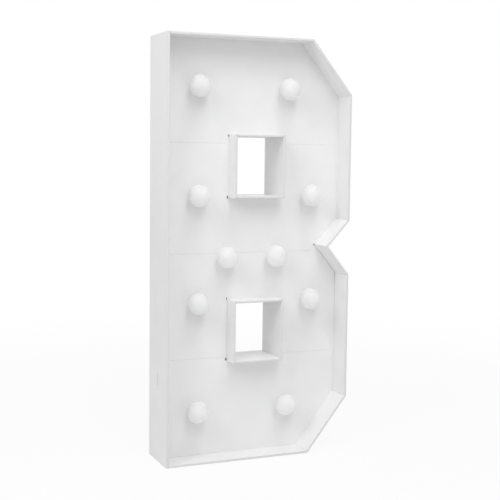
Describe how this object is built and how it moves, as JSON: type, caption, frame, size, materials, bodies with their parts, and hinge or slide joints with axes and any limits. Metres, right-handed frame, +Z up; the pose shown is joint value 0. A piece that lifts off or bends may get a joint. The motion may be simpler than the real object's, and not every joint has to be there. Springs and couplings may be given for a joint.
{
  "type": "marquee letter light",
  "caption": "Free-standing marquee letter of white foam board, open at the back, with a recessed face, rectangular windows and globe bulbs on a battery string.",
  "frame": {"origin": "centre of the letter's box at the plane it stands on", "axes": "+Z up, along the letter's height; -Y out of its front; +X to the right when it is read from the front"},
  "size_m": [0.428, 0.12, 0.914],
  "materials": {
    "board": "satin white foam board",
    "raw_board": "matt white foam board",
    "globe": "glossy opal",
    "holder": "moulded, satin",
    "cable": "smooth sheath",
    "case": "moulded, fine grain",
    "slider": "moulded, satin",
    "cell": "printed sleeve, glossy",
    "contact": "nickel-plated",
    "pad": "hook-and-loop"
  },
  "bodies": {
    "letter": {"left_wall": "board", "top_wall": "board", "upper_corner_wall": "board", "upper_right_wall": "board", "upper_notch_wall": "board", "lower_notch_wall": "board", "lower_right_wall": "board", "lower_corner_wall": "board", "bottom_wall": "board", "face_board_top": "board", "face_board_upper": "board", "face_board_lower": "board", "face_board_bottom": "board", "upper_frame_left": "board", "upper_frame_right": "board", "upper_frame_top": "board", "upper_frame_bottom": "board", "lower_frame_left": "board", "lower_frame_right": "board", "lower_frame_top": "board", "lower_frame_bottom": "board", "upper_splice_left": "raw_board", "upper_splice_right": "raw_board", "middle_splice": "raw_board", "lower_splice_left": "raw_board", "lower_splice_right": "raw_board", "lampholder_01": "holder", "lampholder_02": "holder", "lampholder_03": "holder", "lampholder_04": "holder", "lampholder_05": "holder", "lampholder_06": "holder", "lampholder_07": "holder", "lampholder_08": "holder", "lampholder_09": "holder", "lampholder_10": "holder", "string_cable": "cable", "battery_case": "case", "case_pad": "pad", "cell_1": "cell", "cell_2": "cell", "cell_3": "cell", "foot_contact": "contact", "foot_bridge": "contact", "head_contact": "contact", "head_bridge": "contact"},
    "bulb_01_body": {"bulb_01": "globe"},
    "bulb_02_body": {"bulb_02": "globe"},
    "bulb_03_body": {"bulb_03": "globe"},
    "bulb_04_body": {"bulb_04": "globe"},
    "bulb_05_body": {"bulb_05": "globe"},
    "bulb_06_body": {"bulb_06": "globe"},
    "bulb_07_body": {"bulb_07": "globe"},
    "bulb_08_body": {"bulb_08": "globe"},
    "bulb_09_body": {"bulb_09": "globe"},
    "bulb_10_body": {"bulb_10": "globe"},
    "cover_body": {"battery_cover": "case"},
    "slider_body": {"switch_slider": "slider"}
  },
  "joints": [
    {"name": "bulb_01_draw", "type": "slide", "parent": "letter", "child": "bulb_01_body", "axis": [0, -1, 0], "range_m": [0, 0.026]},
    {"name": "bulb_02_draw", "type": "slide", "parent": "letter", "child": "bulb_02_body", "axis": [0, -1, 0], "range_m": [0, 0.026]},
    {"name": "bulb_03_draw", "type": "slide", "parent": "letter", "child": "bulb_03_body", "axis": [0, -1, 0], "range_m": [0, 0.026]},
    {"name": "bulb_04_draw", "type": "slide", "parent": "letter", "child": "bulb_04_body", "axis": [0, -1, 0], "range_m": [0, 0.026]},
    {"name": "bulb_05_draw", "type": "slide", "parent": "letter", "child": "bulb_05_body", "axis": [0, -1, 0], "range_m": [0, 0.026]},
    {"name": "bulb_06_draw", "type": "slide", "parent": "letter", "child": "bulb_06_body", "axis": [0, -1, 0], "range_m": [0, 0.026]},
    {"name": "bulb_07_draw", "type": "slide", "parent": "letter", "child": "bulb_07_body", "axis": [0, -1, 0], "range_m": [0, 0.026]},
    {"name": "bulb_08_draw", "type": "slide", "parent": "letter", "child": "bulb_08_body", "axis": [0, -1, 0], "range_m": [0, 0.026]},
    {"name": "bulb_09_draw", "type": "slide", "parent": "letter", "child": "bulb_09_body", "axis": [0, -1, 0], "range_m": [0, 0.026]},
    {"name": "bulb_10_draw", "type": "slide", "parent": "letter", "child": "bulb_10_body", "axis": [0, -1, 0], "range_m": [0, 0.026]},
    {"name": "cover_slide", "type": "slide", "parent": "letter", "child": "cover_body", "axis": [0, 0, -1], "range_m": [0, 0.06]},
    {"name": "switch_slide", "type": "slide", "parent": "letter", "child": "slider_body", "axis": [1, 0, 0], "range_m": [0, 0.004]}
  ]
}
